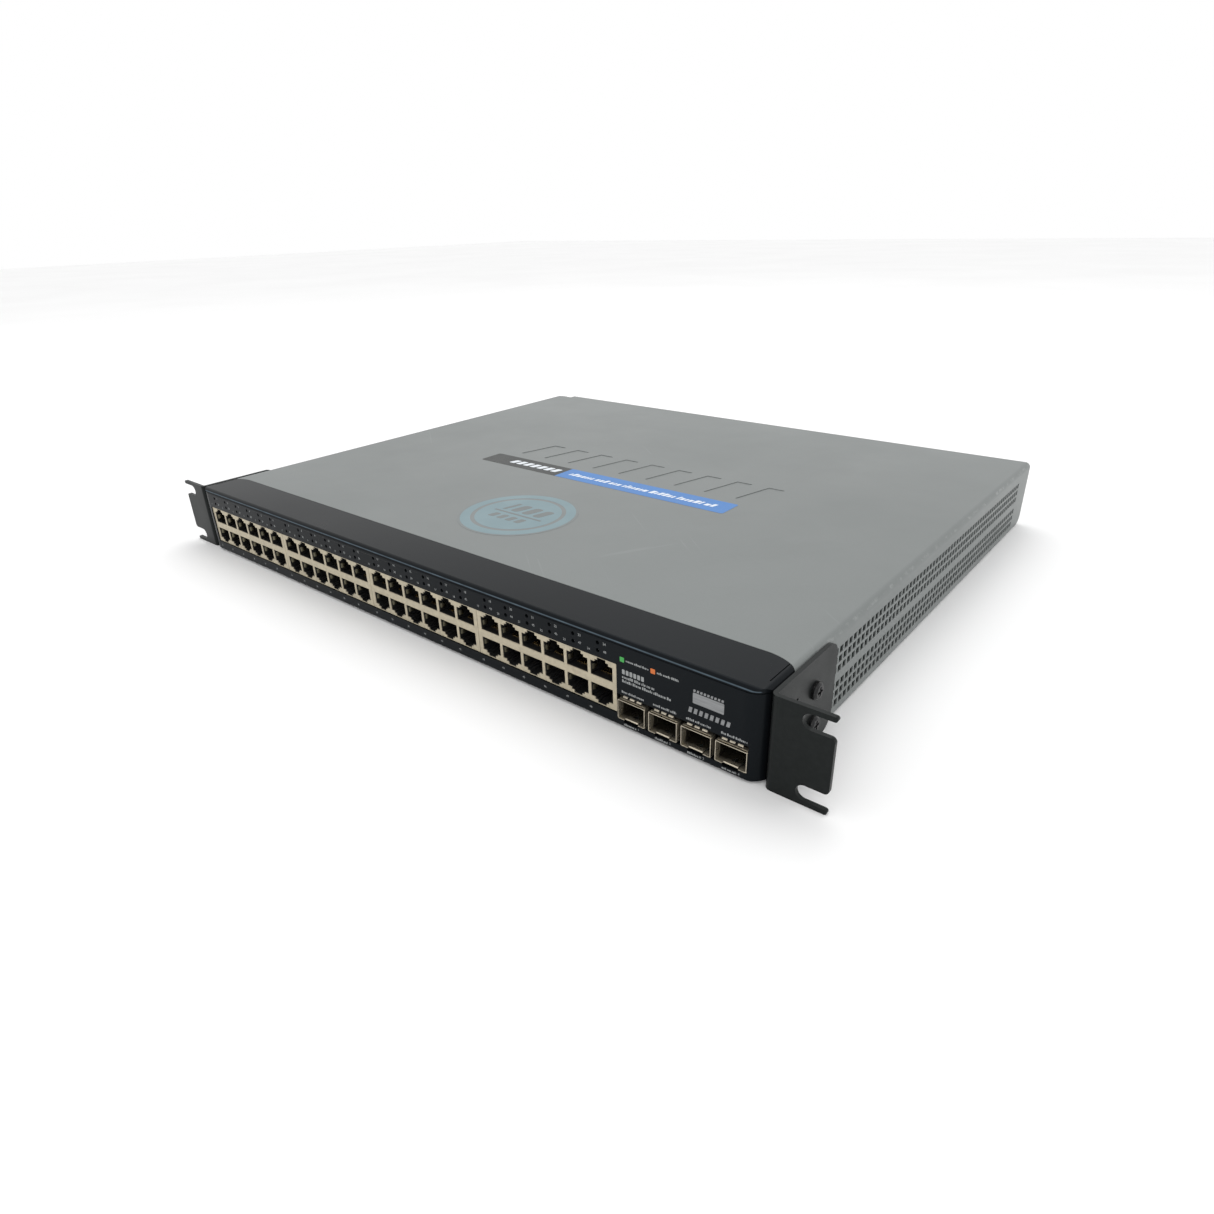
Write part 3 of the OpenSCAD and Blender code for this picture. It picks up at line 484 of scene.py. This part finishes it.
def chip_epoxy():
    return moulded_plastic("chip_epoxy", (0.02, 0.02, 0.022), roughness=0.55, grain=4200, depth=0.012)


def sink_aluminium():
    return plated_metal("sink_aluminium", (0.72, 0.73, 0.74), roughness=0.36, drawn=(1, 0.03, 1), scale=1400)


def can_aluminium():
    return plated_metal("can_aluminium", (0.78, 0.79, 0.8), roughness=0.26, drawn=(1, 1, 0.05), scale=3000)


def header_nylon():
    cream = (0.7, 0.66, 0.52)
    return moulded_plastic("header_nylon", cream, roughness=0.5, grain=2500, depth=0.01, dust=0.03)


def insulator_film():
    return film("insulator_film", (0.62, 0.62, 0.55), (0.7, 0.7, 0.63), roughness=0.35)


def ferrite():
    return moulded_plastic("ferrite", (0.05, 0.048, 0.046), roughness=0.6, grain=1600, depth=0.03)


def capacitor_sleeve():
    return moulded_plastic("capacitor_sleeve", (0.015, 0.025, 0.11), roughness=0.3, grain=900, depth=0.006)


def connector_shell():
    return plated_metal("connector_shell", (0.62, 0.6, 0.54), roughness=0.32, drawn=(1, 0.1, 1), scale=2200)


def bright_screw():
    """Zinc plate, slightly blue, with turning marks."""
    return plated_metal("bright_screw", (0.66, 0.68, 0.69), roughness=0.28, drawn=(1, 0.2, 1), scale=2600,
                        depth=0.01, stain=0.7, stains=700)


def fan_plastic():
    return moulded_plastic("fan_plastic", (0.016, 0.016, 0.017), roughness=0.5, grain=1500, depth=0.02)


def lead_red():
    return moulded_plastic("lead_red", (0.4, 0.025, 0.018), roughness=0.4, grain=1200, depth=0.01, dust=0.04)


def ribbon_grey():
    """Flat ribbon: parallel conductors with a groove between neighbours, darker in the grooves as painted
    shade.
    """
    f = Finish("ribbon_grey", roughness=0.45)
    ridge = f.math("ABSOLUTE", f.math("SINE", f.math("MULTIPLY", f.axis("X"), math.pi / (1.27 * MM))))
    # Painted shade: the colour darkens into each groove and lightens on each conductor's crown.
    f.colour(f.ramp(ridge, (0.0, (0.22, 0.225, 0.235)), (0.5, (0.42, 0.43, 0.45))))
    f.relief(ridge, 0.25 * MM)
    return f.material


def ink(name, rgb):
    """Screen print: nearly flat colour with worn specks."""
    f = Finish(name, specular=0.3)
    wear = f.spread(f.noise(2600, detail=3, roughness=0.7), 0.6, 0.75, 0, 0.3)
    f.colour(f.mix(wear, rgb, scaled(rgb, 0.45)))
    f.rough(f.spread(f.noise(200, detail=2), 0.3, 0.7, 0.45, 0.6))
    return f.material


def badge_silver():
    """Brushed foil."""
    f = Finish("badge_silver", metallic=0.7)
    lines = f.noise(2500, detail=2, stretch=(0.03, 1, 1))
    f.colour(f.ramp(lines, (0.3, (0.2, 0.205, 0.21)), (0.7, (0.29, 0.295, 0.3))))
    f.rough(f.spread(lines, 0.3, 0.7, 0.3, 0.42))
    f.relief(lines, 0.004 * MM)
    return f.material


SLOT_FINISHES = (
    cover_paint, zinc_sheet, bezel_plastic, ear_paint, black_screw, bright_screw, label_print, sticker_film,
    board_green, jack_tin, jack_plastic, contact_gold, cage_metal, socket_plastic, pipe_clear, lamp_white,
    chip_epoxy, sink_aluminium, can_aluminium, header_nylon, board_brown, insulator_film, ferrite,
    capacitor_sleeve, connector_shell, fan_plastic, lead_red, ribbon_grey,
)

# Width in millimetres of the small radius on each node's sharp edges; nodes not named here take the last
EDGE_WIDTHS = {
    "top_cover": 0.14, "chassis_base": 0.1, "front_bezel": 0.22, "rack_ear": 0.3, "ear_screws": 0.14,
    "cover_screws": 0.1, "jack_shell": 0.06, "jack_insert": 0.08, "jack_contacts": 0.05, "sfp_cage": 0.05,
    "sfp_latch": 0.05, "emi_fingers": 0.05, "strip_label": 0.03, "round_sticker": 0.03, "power_inlet": 0.3,
    "console_port": 0.12, "console_nuts": 0.15, "fan_frame": 0.3, "fan_rotor": 0.25, "light_pipes": 0.08,
    "": 0.12,
}


def round_edges(piece, width):
    """Joins the faces' own vertices, rounds the sharp edges and evens the shading."""
    weld = piece.modifiers.new("weld", "WELD")
    weld.merge_threshold = 0.002 * MM
    bevel = piece.modifiers.new("edge_radius", "BEVEL")
    bevel.width = width
    bevel.segments = 2
    bevel.limit_method = "ANGLE"
    bevel.angle_limit = math.radians(35)
    bevel.miter_outer = "MITER_ARC"
    bevel.use_clamp_overlap = True
    shade = piece.modifiers.new("shading", "WEIGHTED_NORMAL")
    shade.keep_sharp = True


def dress_frame():
    """Gives every CAD node the material of its slot and small edge radii."""
    materials = {make.__name__: make() for make in SLOT_FINISHES}
    for part in frame["record"]["subparts"]:
        node = NODES[part["node"]]
        node.data.materials.clear()
        node.data.materials.append(materials[part["material_slot"]])
        width = next(width for start, width in EDGE_WIDTHS.items() if part["node"].startswith(start))
        round_edges(node, width * MM)
    return materials


# ---------------------------------------------------------------- printed marks


class Print:
    """Thin closed solids on a plane: u and v lie in it, and they stand out by the print's thickness."""

    def __init__(self, origin, u, v):
        normal = Vector(u).cross(Vector(v))
        self.plane = Matrix.Translation(origin) @ Matrix((u, v, normal)).transposed().to_4x4()
        self.thickness = PRINT_THICKNESS
        self.bm = bmesh.new()

    def outline(self, points):
        low = [self.bm.verts.new(self.plane @ Vector((u, v, 0))) for u, v in points]
        high = [self.bm.verts.new(self.plane @ Vector((u, v, self.thickness))) for u, v in points]
        self.bm.faces.new(low[::-1])
        self.bm.faces.new(high)
        for a in range(len(points)):
            b = (a + 1) % len(points)
            self.bm.faces.new((low[a], low[b], high[b], high[a]))

    def bar(self, u, v, width, height, slant=0.0, radius=0.0):
        """A bar with its lower left corner at u, v. It leans by slant, and its corners may be round."""
        corners = ((width, 0, -90), (width, height, 0), (0, height, 90), (0, 0, 180))
        points = []
        for x, y, start in corners:
            steps = 4 if radius else 1
            cx = x + (radius if x == 0 else -radius)
            cy = y + (radius if y == 0 else -radius)
            for k in range(steps):
                angle = math.radians(start + 90 * k / max(steps - 1, 1))
                px, py = cx + radius * math.cos(angle), cy + radius * math.sin(angle)
                points.append((u + px + slant * py / height, v + py))
        self.outline(points)

    def ring(self, u, v, outer, inner):
        steps = 96
        loops = []
        for radius in (outer, inner):
            for z in (0, self.thickness):
                around = [math.tau * k / steps for k in range(steps)]
                places = [Vector((u + radius * math.cos(a), v + radius * math.sin(a), z)) for a in around]
                loops.append([self.bm.verts.new(self.plane @ place) for place in places])
        out_low, out_high, in_low, in_high = loops
        for a in range(steps):
            b = (a + 1) % steps
            self.bm.faces.new((out_low[a], out_low[b], out_high[b], out_high[a]))
            self.bm.faces.new((in_low[b], in_low[a], in_high[a], in_high[b]))
            self.bm.faces.new((out_high[a], out_high[b], in_high[b], in_high[a]))
            self.bm.faces.new((out_low[b], out_low[a], in_low[a], in_low[b]))

    def number(self, value, u, v, size):
        """A whole number centred on u, v."""
        curve = bpy.data.curves.new("number", "FONT")
        curve.body = str(int(value))
        curve.size = size
        curve.align_x, curve.align_y = "CENTER", "CENTER"
        curve.resolution_u = 3
        curve.extrude = self.thickness / 2
        maker = bpy.data.objects.new("number", curve)
        mesh = bpy.data.meshes.new_from_object(maker)
        mesh.transform(self.plane @ Matrix.Translation((u, v, self.thickness / 2)))
        self.bm.from_mesh(mesh)
        bpy.data.meshes.remove(mesh)
        bpy.data.objects.remove(maker)
        bpy.data.curves.remove(curve)

    def line(self, u, v, length, height, slant=0.0):
        """Short bars of uneven width and height in groups, which stand in for a line of words."""
        at, group = u, draw.randint(3, 7)
        while at < u + length:
            width = height * draw.choice((0.3, 0.5, 0.62))
            tall = height * draw.choice((0.7, 0.7, 1.0))
            width = min(width, u + length - at)
            if width > height * 0.1:
                self.bar(at, v, width, tall, slant * tall / height)
            group -= 1
            at += width + height * (0.5 if group == 0 else 0.2)
            if group == 0:
                group = draw.randint(3, 7)

    def piece(self, name, material, slot, body="chassis"):
        bmesh.ops.recalc_face_normals(self.bm, faces=self.bm.faces)
        finish_piece(name, self.bm, material, body)


def finish_piece(name, bm, material, body="chassis"):
    mesh = bpy.data.meshes.new(name)
    bm.to_mesh(mesh)
    bm.free()
    mesh.materials.append(material)
    piece = bpy.data.objects.new(name, mesh)
    bpy.context.scene.collection.objects.link(piece)
    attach(piece, body)


def front_print():
    """A print on the bezel's front: u is X and v is the height above the chassis floor."""
    return Print(Vector((0, FACE_Y, FLOOR_Z)), (1, 0, 0), (0, 0, 1))


def cover_print(base_z):
    return Print(Vector((0, FACE_Y, base_z)), (1, 0, 0), (0, 1, 0))


def port_numbers():
    """Numbers beside the lamps, above the upper ports, below the lower ports and under the module cages."""
    marks = front_print()
    lamp_size, port_size = 1.75 * MM, 1.6 * MM
    upper_count = BLOCKS * PORTS_PER_ROW
    for block in range(BLOCKS):
        for port in range(PORTS_PER_ROW):
            x = port_x(block, port)
            upper = block * PORTS_PER_ROW + port + 1
            lower = upper + upper_count
            marks.number(upper, x + 2.5 * MM, 37.8 * MM, lamp_size)
            marks.number(lower, x + 2.6 * MM, 34.0 * MM, lamp_size)
            marks.number(upper, x - 6.4 * MM, 32.9 * MM, port_size)
            marks.number(lower, x - 6.3 * MM, 3.3 * MM, port_size)
    for cage, x in enumerate(CAGE_MIDS):
        marks.number(cage + 1, x + 4.1 * MM, 1.75 * MM, port_size)
    marks.piece("port_numbers", ink("ink_grey", (0.3, 0.31, 0.31)), "label_print")


def front_words():
    """Plain bars where the bezel carries lines of words."""
    marks = front_print()
    for x in CAGE_MIDS:
        marks.line(x - 3.6 * MM, 1.2 * MM, 6.6 * MM, 1.05 * MM)
        marks.line(x - 4.6 * MM, 17.6 * MM, 11.6 * MM, 1.1 * MM)
    left = CAGE_MIDS[0] - 4.3 * MM
    for k in range(6):
        marks.bar(left + k * 2.0 * MM, 26.9 * MM, 1.45 * MM, 2.3 * MM, radius=0.35 * MM)
    marks.line(left, 24.9 * MM, 16.8 * MM, 1.35 * MM)
    marks.line(left, 22.9 * MM, 25.0 * MM, 1.35 * MM)
    marks.line(left + 2.1 * MM, 33.3 * MM, 11.6 * MM, 1.05 * MM)
    marks.line(left + 18.0 * MM, 33.3 * MM, 10.6 * MM, 1.05 * MM)
    marks.piece("front_words", ink("ink_light_grey", (0.27, 0.28, 0.28)), "label_print")


def lamp_key():
    """The green and the orange square that explain the lamps."""
    for name, dx, rgb in (("key_green", 0.0, (0.05, 0.33, 0.07)), ("key_orange", 15.9, (0.55, 0.14, 0.03))):
        marks = front_print()
        marks.bar(CAGE_MIDS[0] - 5.4 * MM + dx * MM, 32.6 * MM, 2.3 * MM, 2.3 * MM, radius=0.3 * MM)
        marks.piece(name, ink("ink_" + name, rgb), "label_print")


def front_badge():
    """A plain foil badge between two rows of plain bars."""
    badge = front_print()
    left = CAGE_MIDS[3] - 18.1 * MM
    badge.bar(left, 26.4 * MM, 14.3 * MM, 4.9 * MM, radius=0.4 * MM)
    foil = badge_silver()
    badge.piece("front_badge", foil, "bright_screw")
    rows = front_print()
    for k in range(9):
        rows.bar(left + (0.1 + k * 1.6) * MM, 31.7 * MM, 1.0 * MM, 1.1 * MM, slant=0.2 * MM)
    for k in range(8):
        rows.bar(left + (-2 + k * 2.5) * MM, 21.6 * MM, 1.5 * MM, 2.5 * MM, slant=0.5 * MM)
    rows.piece("front_badge_bars", foil, "bright_screw")


def label_marks():
    """White bars on the strip label."""
    low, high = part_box("strip_label")
    marks = cover_print(high.z)
    length = high.x - low.x
    mid_v = (low.y + high.y) / 2 - FACE_Y
    for k in range(7):
        left = low.x + length * 0.11 + k * 6.6 * MM
        marks.bar(left, mid_v - 3.4 * MM, 4.6 * MM, 6.8 * MM, slant=2 * MM, radius=0.8 * MM)
    marks.line(low.x + length * 0.385, mid_v - 2.6 * MM, length * 0.565, 5.0 * MM, slant=1.4 * MM)
    marks.piece("label_marks", ink("ink_white", (0.72, 0.76, 0.8)), "label_print")


def sticker_rings():
    """Pale blue rings and a disc with grey bars on the round sticker."""
    low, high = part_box("round_sticker")
    u, v = (low.x + high.x) / 2, (low.y + high.y) / 2 - FACE_Y
    radius = (high.x - low.x) / 2
    pale = film("pale_blue_film", (0.172, 0.25, 0.275), (0.19, 0.272, 0.298))
    rings = cover_print(high.z)
    rings.ring(u, v, radius * 0.955, radius * 0.79)
    rings.ring(u, v, radius * 0.72, 0.2 * MM)
    rings.piece("sticker_rings", pale, "sticker_film")
    grey = film("grey_film", (0.15, 0.168, 0.168), (0.165, 0.182, 0.182))
    bars = cover_print(high.z + PRINT_THICKNESS)
    bars.bar(u - 15 * MM, v + 1.5 * MM, 2.6 * MM, 12 * MM, slant=3 * MM)
    for k in range(3):
        bars.bar(u + (-9 + k * 9) * MM, v + 1.5 * MM, 6 * MM, 12 * MM, slant=3 * MM, radius=2 * MM)
    bars.bar(u - 18 * MM, v - 2.5 * MM, 38 * MM, 1.6 * MM)
    for k in range(4):
        bars.bar(u + (-14 + k * 7) * MM, v - 12 * MM, 4.4 * MM, 6.5 * MM, slant=1.4 * MM, radius=1 * MM)
    bars.piece("sticker_bars", grey, "sticker_film")


# ---------------------------------------------------------------- small metalwork


def strip(bm, path, side, width):
    """A thin bent strip: path holds its section's points in order, and side is the direction of its width."""
    sections = [[bm.verts.new(Vector(p) + Vector(side) * s * width / 2) for p in path] for s in (-1, 1)]
    count = len(path)
    bm.faces.new(sections[0][::-1])
    bm.faces.new(sections[1])
    for a in range(count):
        b = (a + 1) % count
        bm.faces.new((sections[0][a], sections[0][b], sections[1][b], sections[1][a]))


def leaf_section(start, along, out, length, rise, thickness, steps=8):
    """The outline of a leaf spring that bows outwards between its two ends."""
    start, along, out = Vector(start), Vector(along), Vector(out)
    crown = [
        start + along * length * k / steps + out * rise * math.sin(math.pi * k / steps)
        for k in range(steps + 1)
    ]
    return crown + [p + out * thickness for p in reversed(crown)]


def jack_springs(material):
    """The shield's side springs, which bow into each port from both walls."""
    bm = bmesh.new()
    inside = 6.05 * MM
    for block in range(BLOCKS):
        for port in range(PORTS_PER_ROW):
            for row in (-1, 1):
                z = JACK_MID_Z + row * 5.3 * MM
                for side in (-1, 1):
                    x = port_x(block, port) + side * inside
                    start = (x, FACE_Y + 1.5 * MM, z)
                    inward = (-side, 0, 0)
                    section = leaf_section(start, (0, 1, 0), inward, 3.4 * MM, 0.5 * MM, 0.15 * MM)
                    strip(bm, section, (0, 0, 1), 2.6 * MM)
    bmesh.ops.recalc_face_normals(bm, faces=bm.faces)
    finish_piece("jack_springs", bm, material)


def cage_springs(material):
    """Upright pressed ribs along the side walls and the roof of each module cage."""
    bm = bmesh.new()
    low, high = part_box("sfp_cage_1")
    thickness, width = 0.12 * MM, 0.9 * MM
    for mid in CAGE_MIDS:
        for k in range(6):
            y = FACE_Y + (3.2 + k * 3.1) * MM
            for side in (-1, 1):
                x = mid + side * ((high.x - low.x) / 2 - 0.3 * MM)
                foot = (x, y, low.z + 1.4 * MM)
                section = leaf_section(foot, (0, 0, 1), (-side, 0, 0), 7.2 * MM, 0.3 * MM, thickness)
                strip(bm, section, (0, 1, 0), width)
            left = (mid - 5.6 * MM, y, high.z - 0.3 * MM)
            section = leaf_section(left, (1, 0, 0), (0, 0, -1), 11.2 * MM, 0.25 * MM, thickness)
            strip(bm, section, (0, 1, 0), width)
    bmesh.ops.recalc_face_normals(bm, faces=bm.faces)
    finish_piece("cage_springs", bm, material)


def cage_rims(material):
    """The folded-back rim around the mouth of each module cage, open where the latch passes."""
    low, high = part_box("sfp_cage_1")
    latch_low, latch_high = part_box("sfp_latch_1")
    half_w, half_h = (high.x - low.x) / 2, (high.z - low.z) / 2
    gap = (latch_high.x - latch_low.x) / 2 + 0.45 * MM
    fold, corner = 0.38 * MM, 0.7 * MM
    profile = ((0, 0.9), (0, 0.1), (0.1, 0), (0.9, 0), (1, 0.1), (1, 0.9))
    corners = ((1, -1, -90), (1, 1, 0), (-1, 1, 90), (-1, -1, 180))
    bm = bmesh.new()
    for mid in CAGE_MIDS:
        sections = []
        for inset, back in profile:
            inward = inset * fold
            w, h, r = half_w - inward, half_h - inward, corner - inward
            line = [(gap, -h)]
            for sx, sz, start in corners:
                turns = [math.radians(start + 22.5 * k) for k in range(5)]
                line += [(sx * (w - r) + r * math.cos(a), sz * (h - r) + r * math.sin(a)) for a in turns]
            line.append((-gap, -h))
            y = FACE_Y + (0.15 + back) * MM
            sections.append([bm.verts.new((mid + x, y, (low.z + high.z) / 2 + z)) for x, z in line])
        for side, after in zip(sections, sections[1:] + sections[:1]):
            for a in range(len(side) - 1):
                bm.faces.new((side[a], side[a + 1], after[a + 1], after[a]))
        for end in (0, -1):
            bm.faces.new([section[end] for section in sections])
    bmesh.ops.recalc_face_normals(bm, faces=bm.faces)
    finish_piece("cage_rims", bm, material)


# ---------------------------------------------------------------- the scene

make_camera()
make_studio()
finishes = dress_frame()
port_numbers()
front_words()
lamp_key()
front_badge()
label_marks()
sticker_rings()
jack_springs(spring_tin())
cage_springs(finishes["cage_metal"])
cage_rims(finishes["cage_metal"])
